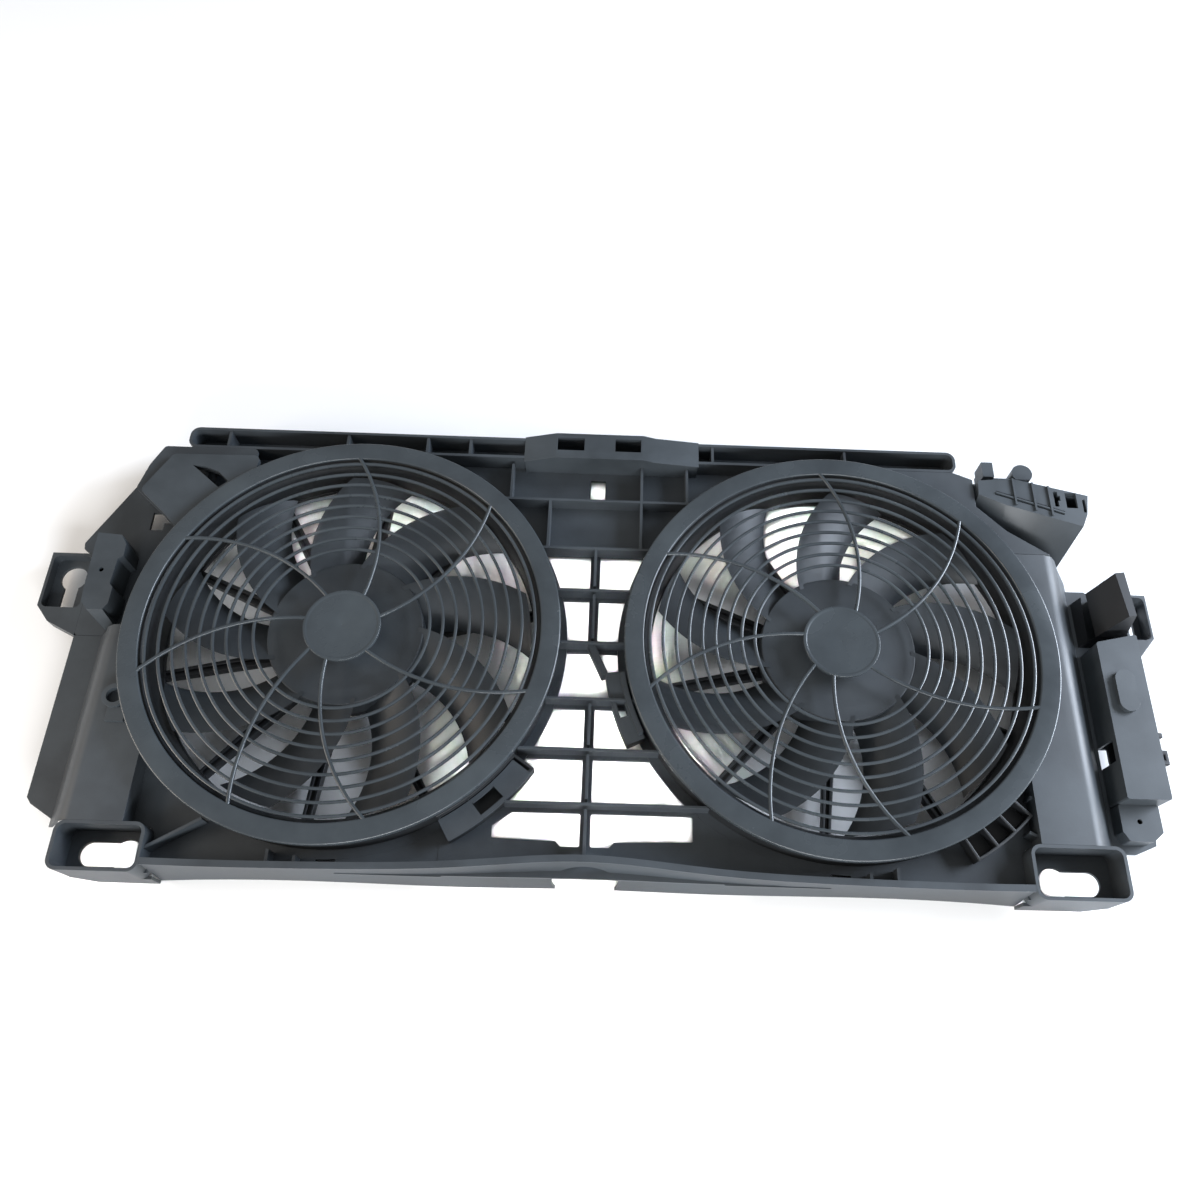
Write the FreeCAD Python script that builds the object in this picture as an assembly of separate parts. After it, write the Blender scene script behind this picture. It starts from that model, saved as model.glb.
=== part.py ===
import FreeCAD, Part
import math
import os

# Twin condenser fan module for a van: one moulded carrier with two guarded axial fans.
# It lies on its back. X runs along its length, Y towards its top edge, Z out of the guards.
# The origin is on the back plane, midway between the two fan axes.

# Fan guard
FAN_SPACING = 395.4
GUARD_R = 172.5
GUARD_FACE = 15.8
GUARD_FRONT = 58.0
GUARD_T = 3.0
GUARD_LIP = 6.0
GUARD_EDGE = 1.2
GUARD_DISC_R = 30.5
RING_COUNT = 9
RING_FIRST_R = 68.9
RING_PITCH = 10.4
RING_W = 2.6
RING_SET_BACK = 0.6
RING_SIDES = 48
SPOKE_W = 3.0
SPOKE_T = 3.0
# Start angle at the centre disc and end angle at the outer ring, in degrees
SPOKES = [(17.6, 46.8), (63.5, 92.8), (122.0, 152.0), (169.0, 196.0),
          (222.0, 247.0), (254.0, 284.0), (316.5, 341.5)]

# Fan frame and motor carrier
SKIRT_R = 170.0
FRAME_WALL = 2.5
BARREL_R = 151.0
BARREL_REAR = 20.0
MOUTH_R = 6.0
STRUT_COUNT = 10
STRUT_PHASE = 264.4
STRUT_ROOT_W = 10.0
STRUT_TIP_W = 7.0
STRUT_DEPTH = 8.0
STRUT_GROOVE = 2.4
CARRIER_R = 60.0
BRACKET_REACH = 20.0
BRACKET_WALL = 2.4
BRACKET_DEPTH = 12.0

# Impeller
BLADE_COUNT = 9
TIP_GAP = 3.5
HUB_R = 62.0
HUB_WALL = 2.5
HUB_FRONT = 44.5
HUB_REAR = 22.5
ROOT_CHORD = 43.0
TIP_CHORD = 47.0
ROOT_PITCH = 31.0
TIP_PITCH = 19.0
BLADE_SWEEP = 21.0
BLADE_CAMBER = 3.4
BLADE_T = 2.2
BLADE_MID_Z = 33.0
BLADE_STATIONS = 4
LEFT_PHASE = 25.0
RIGHT_PHASE = 15.5

# Motor
MOTOR_R = 42.0
CAN_T = 2.0
CAN_FRONT = 38.5
CAP_REAR = 3.5
CAP_T = 2.5
SHAFT_R = 4.0
BEARING_R = 7.0
RUN_GAP = 0.03
SEAT_GAP = 0.05
LUG_COUNT = 3
LUG_PCD = 100.0
LUG_SCREW_R = 2.5
MAGNET_T = 5.5
AIR_GAP = 1.0
CORE_LOW = 19.0
CORE_HIGH = 31.0
SLOT_COUNT = 12
COMMUTATOR_R = 11.0
NUT_AF = 13.0
NUT_T = 4.5

# Moulded carrier
WALL = 2.5
PLATE_T = 3.0
PLATE_FRONT = 29.0
RIB_FRONT = 42.0
RIM_FRONT = 46.0
RIB_T = 2.2
LIP_R = 177.0
JOIN = 0.1
BEAM_HEIGHT = 21.0
BEAM_LEFT = 162.3
BEAM_RIGHT = 116.3
BLOCK_FRONT = 54.0
BLOCK_HALF = 38.0
BLOCK_RISE_LEFT = 28.0
BLOCK_RISE_RIGHT = 49.0
RAIL_SIDE = 15.5
RAIL_CENTRE = 3.5
RAIL_BACK = 17.0
NOTCH_R = 25.0
NOTCH_TOP = 36.0
RUNG_W = 8.0
RUNGS = [46.0, -1.1, -49.2, -90.4, -132.6]
WEB_LOW = 84.2
WEB_MID = 132.3
COLUMN_IN = 139.0
COLUMN_OUT = 191.0
COLUMN_ROUND = 13.0
SHOULDER = 15.0
SIDE_FRONT = 20.0
SIDE_OUT = 228.0
EAR_REACH = 265.3
EAR_W = 48.0
EAR_H = 66.0
EAR_RIM = 34.0
EAR_BIG_R = 11.0
EAR_SLOT_R = 6.0
CORNER_FLOOR = 21.0
CORNER_SLOT_R = 9.0
CORNER_EYE_R = 11.5
CORNER_LOW = -193.0
MODULE_FRONT = 50.0
HORN_FRONT = 66.0

# Derived places
HALF = FAN_SPACING / 2
PLATE_BACK = PLATE_FRONT - PLATE_T
GUARD_BACK = GUARD_FRONT - GUARD_T
GUARD_IN = GUARD_R - GUARD_FACE
HOLE_R = BARREL_R + FRAME_WALL + 0.5
CLEAR_R = SKIRT_R + JOIN
BEAM_LOW = SKIRT_R + 1.0
BEAM_HIGH = BEAM_LOW + BEAM_HEIGHT
BLOCK_HIGH = BEAM_HIGH + 1.0
BEAM_X0 = -HALF - BEAM_LEFT
BEAM_X1 = HALF + BEAM_RIGHT
TIP_R = BARREL_R - TIP_GAP
CARRIER_FRONT = BARREL_REAR
CARRIER_BACK = CARRIER_FRONT - STRUT_DEPTH
CAN_REAR = CAP_REAR + CAP_T
MAGNET_OUT = MOTOR_R - CAN_T - SEAT_GAP
MAGNET_IN = MAGNET_OUT - MAGNET_T
CORE_R = MAGNET_IN - AIR_GAP
SIDE_BACK = SIDE_FRONT - PLATE_T


def at(x, y, z=0.0):
    return FreeCAD.Vector(x, y, z)


def block(x0, x1, y0, y1, z0, z1):
    return Part.makeBox(x1 - x0, y1 - y0, z1 - z0, at(x0, y0, z0))


def disc(radius, z0, z1, x=0.0, y=0.0):
    return Part.makeCylinder(radius, z1 - z0, at(x, y, z0))


def cell(radius, sides, z0, z1, x=0.0, y=0.0):
    """Upright prism with a regular outline of so many sides."""
    turn = 2.0 * math.pi / sides
    points = [(x + radius * math.cos(i * turn), y + radius * math.sin(i * turn)) for i in range(sides)]
    return prism(points, z0, z1)


def tube(outer, inner, z0, z1, x=0.0, y=0.0):
    return disc(outer, z0, z1, x, y).cut(disc(inner, z0, z1, x, y))


def prism(points, z0, z1):
    corners = [at(x, y, z0) for x, y in points]
    return Part.Face(Part.makePolygon(corners + corners[:1])).extrude(at(0, 0, z1 - z0))


def round_wire(points, radius, z):
    """Closed wire through the points, each corner an arc tangent to both sides."""
    corners = [at(x, y, z) for x, y in points]
    edges = []
    ends = []
    for i, corner in enumerate(corners):
        back = corners[i - 1] - corner
        ahead = corners[(i + 1) % len(corners)] - corner
        half_turn = back.getAngle(ahead) / 2
        reach = min(radius / math.tan(half_turn), 0.45 * back.Length, 0.45 * ahead.Length)
        back.normalize()
        ahead.normalize()
        bend = reach * math.tan(half_turn)
        middle = back + ahead
        middle.normalize()
        peak = corner + middle * (bend / math.sin(half_turn) - bend)
        ends.append((corner + back * reach, peak, corner + ahead * reach))
    for i, (start, peak, end) in enumerate(ends):
        edges.append(Part.Arc(start, peak, end).toShape())
        edges.append(Part.makeLine(end, ends[(i + 1) % len(ends)][0]))
    return Part.Wire(edges)


def soft_prism(points, radius, z0, z1):
    return Part.Face(round_wire(points, radius, z0)).extrude(at(0, 0, z1 - z0))


def rect(x0, x1, y0, y1):
    return [(x0, y0), (x1, y0), (x1, y1), (x0, y1)]


def rib(start, end, width, z0, z1):
    """Straight upright rib of one thickness between two plan points."""
    run = at(end[0] - start[0], end[1] - start[1])
    bar = block(0, run.Length, -width / 2, width / 2, z0, z1)
    bar.rotate(at(0, 0), at(0, 0, 1), math.degrees(math.atan2(run.y, run.x)))
    bar.translate(at(start[0], start[1]))
    return bar


def sector(inner, outer, a0, a1, z0, z1):
    """Piece of a flat ring between two angles in degrees."""
    def spot(radius, angle):
        return at(radius * math.cos(math.radians(angle)), radius * math.sin(math.radians(angle)), z0)
    mid = (a0 + a1) / 2
    edges = [Part.Arc(spot(outer, a0), spot(outer, mid), spot(outer, a1)).toShape(),
             Part.makeLine(spot(outer, a1), spot(inner, a1)),
             Part.Arc(spot(inner, a1), spot(inner, mid), spot(inner, a0)).toShape(),
             Part.makeLine(spot(inner, a0), spot(outer, a0))]
    return Part.Face(Part.Wire(edges)).extrude(at(0, 0, z1 - z0))


def turned(profile):
    """Solid of revolution about Z from (radius, height) points."""
    corners = [at(r, 0, z) for r, z in profile]
    face = Part.Face(Part.makePolygon(corners + corners[:1]))
    return face.revolve(at(0, 0, 0), at(0, 0, 1), 360)


def ring_of(shape, count, step=None):
    """Copies of a shape spaced round the Z axis."""
    pitch = step or 360.0 / count
    copies = []
    for i in range(count):
        copy = shape.copy()
        copy.rotate(at(0, 0), at(0, 0, 1), i * pitch)
        copies.append(copy)
    return copies


def moved(shape, x, y=0.0, z=0.0):
    copy = shape.copy()
    copy.translate(at(x, y, z))
    return copy


def both(shapes):
    """The same pieces at both fan axes, as separate solids."""
    return Part.makeCompound([moved(shape, x) for x in (-HALF, HALF) for shape in shapes])


def joined(shapes):
    return shapes[0].multiFuse(shapes[1:]).removeSplitter()


def save(name, shape):
    solids = shape.Solids
    result = solids[0] if len(solids) == 1 else Part.makeCompound(solids)
    result.exportStep("parts/" + name + ".step")
    print(name, len(solids), "solids", round(result.Volume), "mm3", result.isValid())


# Guard: flat outer ring with a turned-down lip, thin rings and curved spokes, one moulding

def spoke(start, end):
    """Spoke whose angle grows with radius, as a band between two arcs."""
    inner = GUARD_DISC_R - 1.0
    outer = GUARD_IN + 1.0
    middle = (inner + outer) / 2
    track = []
    for radius, share in ((inner, 0.0), (middle, 0.53), (outer, 1.0)):
        angle = math.radians(start + (end - start) * share)
        track.append(at(radius * math.cos(angle), radius * math.sin(angle), GUARD_FRONT - SPOKE_T))
    bow = Part.Arc(track[0], track[1], track[2]).toShape()
    circle = bow.Curve
    sides = []
    for shift in (-SPOKE_W / 2, SPOKE_W / 2):
        points = []
        for spot in track:
            away = spot - circle.Center
            away.normalize()
            points.append(spot + away * shift)
        sides.append(points)
    edges = [Part.Arc(*sides[0]).toShape(), Part.makeLine(sides[0][2], sides[1][2]),
             Part.Arc(*sides[1]).toShape(), Part.makeLine(sides[1][0], sides[0][0])]
    return Part.Face(Part.Wire(edges)).extrude(at(0, 0, SPOKE_T))


def guard():
    rim = turned([(GUARD_IN, GUARD_BACK), (GUARD_IN, GUARD_FRONT - GUARD_EDGE),
                  (GUARD_IN + GUARD_EDGE, GUARD_FRONT), (GUARD_R - GUARD_EDGE, GUARD_FRONT),
                  (GUARD_R, GUARD_FRONT - GUARD_EDGE), (GUARD_R, GUARD_FRONT - GUARD_LIP),
                  (SKIRT_R + JOIN, GUARD_FRONT - GUARD_LIP), (SKIRT_R + JOIN, GUARD_BACK)])
    pieces = [rim, disc(GUARD_DISC_R, GUARD_BACK, GUARD_FRONT)]
    for i in range(RING_COUNT):
        radius = RING_FIRST_R + i * RING_PITCH
        ring = cell(radius + RING_W / 2, RING_SIDES, GUARD_BACK, GUARD_FRONT - RING_SET_BACK)
        pieces.append(ring.cut(cell(radius - RING_W / 2, RING_SIDES, GUARD_BACK, GUARD_FRONT)))
    pieces += [spoke(start, end) for start, end in SPOKES]
    return joined(pieces)


# Fan frame: bell mouth, barrel and outer skirt in one turned section, with clip brackets

def clip_bracket(a0, a1, cells, depth):
    """Open pocketed bracket on the outside of the skirt, with radial walls between its cells."""
    outer = SKIRT_R + BRACKET_REACH
    front = RIB_FRONT
    pocket = sector(SKIRT_R, outer, a0, a1, front - depth, front)
    wall_angle = math.degrees(BRACKET_WALL / outer)
    span = (a1 - a0 - wall_angle) / cells
    for i in range(cells):
        low = a0 + wall_angle + i * span
        cell = sector(SKIRT_R + BRACKET_WALL, outer - BRACKET_WALL, low, low + span - wall_angle,
                      front - depth + BRACKET_WALL, front)
        pocket = pocket.cut(cell)
    return pocket


def fan_frame(a0, a1, cells):
    top = GUARD_BACK
    bend = BARREL_R + FRAME_WALL
    shell = turned([(BARREL_R, BARREL_REAR), (BARREL_R, top - 2.0 * MOUTH_R),
                    (BARREL_R + 0.3 * MOUTH_R, top - 0.9 * MOUTH_R), (BARREL_R + MOUTH_R, top),
                    (SKIRT_R, top), (SKIRT_R, PLATE_FRONT), (SKIRT_R - FRAME_WALL, PLATE_FRONT),
                    (SKIRT_R - FRAME_WALL, top - FRAME_WALL), (bend + MOUTH_R, top - FRAME_WALL),
                    (bend, top - 2.0 * MOUTH_R), (bend, BARREL_REAR)])
    return joined([shell, clip_bracket(a0, a1, cells, BRACKET_DEPTH)])


# Motor carrier: grooved struts from the barrel's rear edge to the ring that holds the motor

def motor_carrier():
    inner = CARRIER_R - 1.0
    outer = BARREL_R + FRAME_WALL - 1.0
    arm = prism([(inner, -STRUT_ROOT_W / 2), (outer, -STRUT_TIP_W / 2),
                 (outer, STRUT_TIP_W / 2), (inner, STRUT_ROOT_W / 2)], CARRIER_BACK, CARRIER_FRONT)
    groove = block(inner + 6, outer - 3, -STRUT_GROOVE / 2, STRUT_GROOVE / 2,
                   CARRIER_FRONT - 3.0, CARRIER_FRONT)
    arms = ring_of(arm.cut(groove), STRUT_COUNT)
    for piece in arms:
        piece.rotate(at(0, 0), at(0, 0, 1), STRUT_PHASE)
    rim = tube(BARREL_R + FRAME_WALL, BARREL_R - 1.0, CARRIER_FRONT - 4.0, CARRIER_FRONT)
    seat = tube(CARRIER_R, MOTOR_R + 0.4, CARRIER_BACK, CARRIER_FRONT)
    carrier = joined([seat, rim] + arms)
    hole = cell(LUG_SCREW_R, 8, CARRIER_BACK, CARRIER_FRONT, LUG_PCD / 2)
    for piece in ring_of(hole, LUG_COUNT):
        carrier = carrier.cut(piece)
    return carrier


# Impeller: cup-shaped hub with forward-swept, twisted and cambered blades

def blade():
    """Loft of cambered sections that turn and lean as the radius grows."""
    first = HUB_R - 8.0
    last = TIP_R + 3.0
    upper = [(t, 1.0 - 4.0 * t * t) for t in (-0.5, -0.2, 0.15, 0.5)]
    sections = []
    for i in range(BLADE_STATIONS):
        share = i / (BLADE_STATIONS - 1.0)
        radius = first + (last - first) * share
        chord = ROOT_CHORD + (TIP_CHORD - ROOT_CHORD) * share
        pitch = math.radians(ROOT_PITCH + (TIP_PITCH - ROOT_PITCH) * share)
        lean = math.radians(-BLADE_SWEEP * share ** 1.4)
        points = []
        for face, row in ((1, upper), (-1, upper[::-1])):
            for along, bulge in row:
                across = along * chord
                rise = BLADE_CAMBER * bulge + face * BLADE_T * (0.25 + 0.25 * bulge)
                side = across * math.cos(pitch) + rise * math.sin(pitch)
                height = BLADE_MID_Z - across * math.sin(pitch) + rise * math.cos(pitch)
                points.append(at(radius * math.cos(lean) - side * math.sin(lean),
                                 radius * math.sin(lean) + side * math.cos(lean), height))
        sections.append(Part.makePolygon(points + points[:1]))
    body = Part.makeLoft(sections, True, True)
    zone = tube(TIP_R, HUB_R - HUB_WALL / 2, 0, GUARD_FRONT)
    return body.common(zone)


def impeller(phase):
    inner = HUB_R - HUB_WALL
    cup = turned([(SHAFT_R + SEAT_GAP, HUB_FRONT), (HUB_R - 2.0, HUB_FRONT), (HUB_R, HUB_FRONT - 2.0),
                  (HUB_R, HUB_REAR), (inner, HUB_REAR), (inner, HUB_FRONT - HUB_WALL),
                  (3.0 * SHAFT_R, HUB_FRONT - HUB_WALL), (3.0 * SHAFT_R, CAN_FRONT + 1.0),
                  (SHAFT_R + SEAT_GAP, CAN_FRONT + 1.0)])
    wheel = joined([cup] + ring_of(blade(), BLADE_COUNT))
    wheel.rotate(at(0, 0), at(0, 0, 1), phase)
    return wheel


# Motor: drawn steel can with lugs, end cap, magnets, brush gear and sleeve bearings

def motor_can():
    shell = turned([(MOTOR_R, CAN_REAR), (MOTOR_R, CAN_FRONT - 3.0), (MOTOR_R - 3.0, CAN_FRONT),
                    (BEARING_R, CAN_FRONT), (BEARING_R, CAN_FRONT - 5.0),
                    (BEARING_R + CAN_T, CAN_FRONT - 5.0), (BEARING_R + CAN_T, CAN_FRONT - CAN_T),
                    (MOTOR_R - CAN_T, CAN_FRONT - CAN_T), (MOTOR_R - CAN_T, CAN_REAR)])
    reach = LUG_PCD / 2 + 6.0
    lug = block(MOTOR_R - 1.0, reach, -6.5, 6.5, CARRIER_FRONT, CARRIER_FRONT + CAN_T)
    lug = lug.cut(cell(LUG_SCREW_R + 0.2, 8, CARRIER_FRONT, CARRIER_FRONT + CAN_T, LUG_PCD / 2))
    return joined([shell] + ring_of(lug, LUG_COUNT))


def end_cap():
    boss = CAP_REAR + 6.0
    return turned([(SHAFT_R + 1.0, CAP_REAR), (MOTOR_R, CAP_REAR), (MOTOR_R, CAN_REAR),
                   (BEARING_R + CAN_T, CAN_REAR), (BEARING_R + CAN_T, boss), (BEARING_R, boss),
                   (BEARING_R, CAP_REAR + 1.0), (SHAFT_R + 1.0, CAP_REAR + 1.0)])


def bearings():
    inner = SHAFT_R + RUN_GAP
    outer = BEARING_R - SEAT_GAP
    front = tube(outer, inner, CAN_FRONT - 5.0, CAN_FRONT)
    rear = tube(outer, inner, CAP_REAR + 1.0 + SEAT_GAP, CAP_REAR + 6.0)
    return [front, rear]


def magnets():
    low = CORE_LOW - 2.0
    high = CORE_HIGH + 2.0
    return ring_of(sector(MAGNET_IN, MAGNET_OUT, -65.0, 65.0, low, high), 2)


def brush_gear():
    plate_low = CAP_REAR + 6.0 + SEAT_GAP
    plate_high = plate_low + 1.6
    plate = tube(MOTOR_R - CAN_T - SEAT_GAP, COMMUTATOR_R + 2.0, plate_low, plate_high)
    holder = block(COMMUTATOR_R + 2.5, COMMUTATOR_R + 16.0, -4.0, 4.0, plate_high, plate_high + 3.8)
    return joined([plate] + ring_of(holder, 2))


def brushes():
    low = CAP_REAR + 7.8
    brush = block(COMMUTATOR_R + 0.3, COMMUTATOR_R + 2.4, -2.5, 2.5, low, low + 4.0)
    return ring_of(brush, 2)


def armature():
    core = tube(CORE_R, SHAFT_R + SEAT_GAP, CORE_LOW, CORE_HIGH)
    slot = block(0.55 * CORE_R, 0.92 * CORE_R, -2.6, 2.6, CORE_LOW, CORE_HIGH)
    mouth = block(0.9 * CORE_R, CORE_R + 1.0, -1.0, 1.0, CORE_LOW, CORE_HIGH)
    for piece in ring_of(slot.fuse(mouth), SLOT_COUNT):
        core = core.cut(piece)
    return core


def winding():
    side = block(0.57 * CORE_R, 0.9 * CORE_R, -2.3, 2.3, CORE_LOW - 1.0, CORE_HIGH + 1.0)
    turns = [tube(0.9 * CORE_R, 0.55 * CORE_R, CORE_HIGH + 0.2, CORE_HIGH + 3.4),
             tube(0.9 * CORE_R, 0.55 * CORE_R, CORE_LOW - 3.4, CORE_LOW - 0.2)]
    return joined(turns + ring_of(side, SLOT_COUNT))


def commutator():
    low = CAP_REAR + 6.4
    return tube(COMMUTATOR_R, SHAFT_R + SEAT_GAP, low, CORE_LOW - SEAT_GAP)


def shaft():
    return disc(SHAFT_R, CAP_REAR + 1.2, HUB_FRONT + NUT_T + 1.0)


def hub_nut():
    corner = NUT_AF / math.sqrt(3.0)
    points = [(corner * math.cos(math.radians(a)), corner * math.sin(math.radians(a)))
              for a in range(0, 360, 60)]
    nut = prism(points, HUB_FRONT, HUB_FRONT + NUT_T)
    return nut.cut(disc(SHAFT_R + SEAT_GAP, HUB_FRONT, HUB_FRONT + NUT_T))


def motor_screws():
    head_low = CARRIER_FRONT + CAN_T
    head = cell(LUG_SCREW_R + 2.0, 6, head_low, head_low + 2.4, LUG_PCD / 2)
    shank = cell(LUG_SCREW_R - SEAT_GAP, 8, CARRIER_BACK + 1.0, head_low, LUG_PCD / 2)
    return ring_of(head.fuse(shank), LUG_COUNT)


# Moulded carrier. Its bays, beam, rail, columns and lattice are one moulding on the real
# product, and are kept here as sections that meet face to face.

def clear_of_fans(shape, radius=CLEAR_R, z0=-1.0, z1=90.0):
    for x in (-HALF, HALF):
        shape = shape.cut(disc(radius, z0, z1, x))
    return shape


def rail_curve(centre, side, end, z, shift):
    """Long edge of the bottom rail: level at the sides and drawn in at the middle."""
    x0 = -HALF - COLUMN_IN + 18.0 + JOIN
    x1 = HALF + COLUMN_IN - 9.0 - JOIN
    spots = [(x0, end), (-HALF, side), (-0.45 * HALF, 0.5 * (centre + side) - 1.0), (0.0, centre),
             (0.45 * HALF, 0.5 * (centre + side) - 1.0), (HALF, side), (x1, end)]
    curve = Part.BSplineCurve()
    curve.interpolate([at(x, y + shift, z) for x, y in spots])
    return curve.toShape()


def rail_band(centre, side, end, z, width):
    low = rail_curve(centre, side, end, z, 0.0)
    high = rail_curve(centre, side, end, z, width)
    return Part.Wire([low, Part.makeLine(low.Vertexes[1].Point, high.Vertexes[1].Point),
                      high, Part.makeLine(high.Vertexes[0].Point, low.Vertexes[0].Point)])


def bottom_rail():
    side = -GUARD_R - RAIL_SIDE + 2.0
    centre = -GUARD_R - RAIL_CENTRE + 1.0
    end = side - 0.5
    back = -GUARD_R - RAIL_BACK + 2.0
    wall = Part.makeLoft([rail_band(centre, side, end, RIM_FRONT, WALL),
                          rail_band(back, back, back - 3.0, 0.0, WALL)], True, True)
    bead = Part.Face(rail_band(centre - 1.0, side - 1.0, end - 1.0, RIM_FRONT - WALL, 2.0 * WALL))
    bead = bead.extrude(at(0, 0, WALL))
    notch = Part.makeCylinder(NOTCH_R, 60.0, at(1.0, back - 30.0, NOTCH_TOP - NOTCH_R), at(0, 1, 0))
    panel = prism([(-108, back), (108, back), (108, -150), (84, RUNGS[-1] - 4), (-84, RUNGS[-1] - 4),
                   (-108, -150)], PLATE_BACK, PLATE_FRONT)
    panel = clear_of_fans(panel, LIP_R + JOIN)
    foot = RUNGS[-1] - RUNG_W / 2
    mullion = block(-RUNG_W / 2, RUNG_W / 2, foot - 30, foot, PLATE_BACK, PLATE_FRONT)
    left = soft_prism([(-70, -157), (-22, -158), (-18, -162), (-RUNG_W / 2, -162),
                       (-RUNG_W / 2, RUNGS[-1] - 4.0), (-56, RUNGS[-1] - 4.0), (-70, -147)], 1.5,
                      PLATE_BACK, PLATE_FRONT)
    right = soft_prism([(RUNG_W / 2, -162), (18, -162), (22, -158), (81, -156),
                        (81, RUNGS[-1] - 4.0), (RUNG_W / 2, RUNGS[-1] - 4.0)], 1.5,
                       PLATE_BACK, PLATE_FRONT)
    panel = panel.cut(left).cut(right).fuse(mullion)
    outside = block(-120, 120, back - 40, back + 30, PLATE_BACK, PLATE_FRONT)
    under = Part.Face(rail_band(back - 20.0, back - 20.0, back - 20.0, PLATE_BACK, 20.0 + WALL))
    panel = panel.cut(under.extrude(at(0, 0, PLATE_T)).common(outside))
    stem = block(-RIB_T / 2, RIB_T / 2, centre, foot, PLATE_FRONT, RIB_FRONT)
    rail = joined([wall.cut(notch), bead, panel, stem])
    return rail


def bay_plate(side):
    """Base plate of one fan bay: a ring round the fan hole and the outer half of the bay."""
    outer = side * COLUMN_IN
    half = rect(min(0.0, outer), max(0.0, outer), CORNER_LOW + WALL, BEAM_LOW)
    plate = joined([prism(half, PLATE_BACK, PLATE_FRONT), disc(LIP_R, PLATE_BACK, PLATE_FRONT)])
    foot = -GUARD_R - RAIL_SIDE + 4.0
    webs = [rib((side * 12.0, foot - 4.0), (side * 12.0, -LIP_R), RIB_T, PLATE_FRONT, RIB_FRONT),
            rib((side * 32.0, foot - 4.0), (side * 32.0, -LIP_R + 4), RIB_T, PLATE_FRONT, RIB_FRONT)]
    if side < 0:
        webs.append(rib((-122.0, -175.0), (-84.0, -152.0), RIB_T, PLATE_FRONT, RIB_FRONT))
    else:
        webs.append(rib((133.0, -143.5), (139.0, -146.5), RIB_T, PLATE_FRONT, RIB_FRONT))
        webs.append(rib((137.0, -117.0), (145.0, -117.0), RIB_T, PLATE_FRONT, RIB_FRONT))
    plate = plate.cut(disc(HOLE_R, 0, GUARD_FRONT))
    plate = plate.cut(block(-LIP_R, LIP_R, BEAM_LOW, LIP_R + 1, 0, GUARD_FRONT))
    ribs = [web.cut(disc(CLEAR_R, 0, GUARD_FRONT)) for web in webs]
    keep = block(min(0.0, outer), max(0.0, outer), -300, 300, 0, GUARD_FRONT)
    ribs = [web.common(keep) for web in ribs]
    plate = moved(joined([plate] + ribs), side * HALF)
    return plate.cut(rail_outside(WALL + JOIN)).cut(corner_room(side))


def rail_outside(width):
    """Everything outside the rail's inner face, used to trim the pieces that meet it."""
    side = -GUARD_R - RAIL_SIDE + 2.0
    centre = -GUARD_R - RAIL_CENTRE + 1.0
    back = -GUARD_R - RAIL_BACK + 2.0
    return Part.makeLoft([rail_band(centre - 60, side - 60, side - 60.5, RIM_FRONT, 60 + width),
                          rail_band(back - 60, back - 60, back - 63.0, 0.0, 60 + width)], True, True)


def corner_outline(side, grow=0.0):
    inner = side * (HALF + COLUMN_IN - 18.0 + (9.0 if side > 0 else 0.0))
    outer = side * (HALF + COLUMN_OUT - 3.7 + (13.0 if side > 0 else 0.0))
    top = -157.0 if side < 0 else -153.0
    return rect(min(inner, outer) - grow, max(inner, outer) + grow, CORNER_LOW - grow, top + grow)


def corner_room(side):
    return soft_prism(corner_outline(side, JOIN), 8.0, 0, RIM_FRONT + 1)


def corner_box(side):
    """Open mounting pocket at a bottom corner, with a keyhole slot through its floor."""
    shell = soft_prism(corner_outline(side), 8.0, CORNER_FLOOR - PLATE_T, RIM_FRONT)
    shell = shell.cut(soft_prism(corner_outline(side, -WALL), 5.5, CORNER_FLOOR, RIM_FRONT))
    eye = side * (HALF + (142.0 if side < 0 else 154.0))
    slot = side * (HALF + (168.0 if side < 0 else 180.0))
    low = CORNER_FLOOR - PLATE_T
    mid = CORNER_LOW + 16.5
    opening = disc(CORNER_EYE_R, low, CORNER_FLOOR, eye, mid)
    opening = opening.fuse(disc(CORNER_SLOT_R, low, CORNER_FLOOR, slot, mid))
    opening = opening.fuse(block(min(eye, slot), max(eye, slot), mid - CORNER_SLOT_R,
                                 mid + CORNER_SLOT_R, low, CORNER_FLOOR))
    shell = shell.cut(opening)
    outline = corner_outline(side)
    xs = [outline[0][0], outline[1][0]]
    near = xs[1] if side < 0 else xs[0]
    far = xs[0] if side < 0 else xs[1]
    corners = [at(near, CORNER_LOW, low), at(near, CORNER_LOW, 0),
               at(far - side * 20.0, CORNER_LOW, 0), at(far - side * 6.0, CORNER_LOW, low)]
    skirt = Part.Face(Part.makePolygon(corners + corners[:1])).extrude(at(0, WALL, 0))
    return joined([shell, skirt.cut(rail_skirt_room())])


def rail_skirt_room():
    side = -GUARD_R - RAIL_SIDE + 2.0
    x0 = -HALF - COLUMN_IN + 18.0 + JOIN
    x1 = HALF + COLUMN_IN - 9.0 - JOIN
    return block(x0, x1, side - 30.0, side + 30.0, 0, RIM_FRONT)


def column_section(side, wall_only=False):
    outer = [(side * x, z) for x, z in ((-207.0, SIDE_BACK), (-196.5, 31.0), (-191.0, 40.0),
             (-185.0, 44.6), (-179.0, RIM_FRONT), (-COLUMN_IN, RIM_FRONT), (-COLUMN_IN, PLATE_BACK))]
    inner = [(side * x, z) for x, z in ((-COLUMN_IN - WALL, PLATE_BACK), (-COLUMN_IN - WALL, 43.5),
             (-179.5, 43.5), (-184.0, 42.3), (-189.0, 38.3), (-194.0, 30.2), (-204.0, SIDE_BACK))]
    return outer if wall_only else outer + inner


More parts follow.
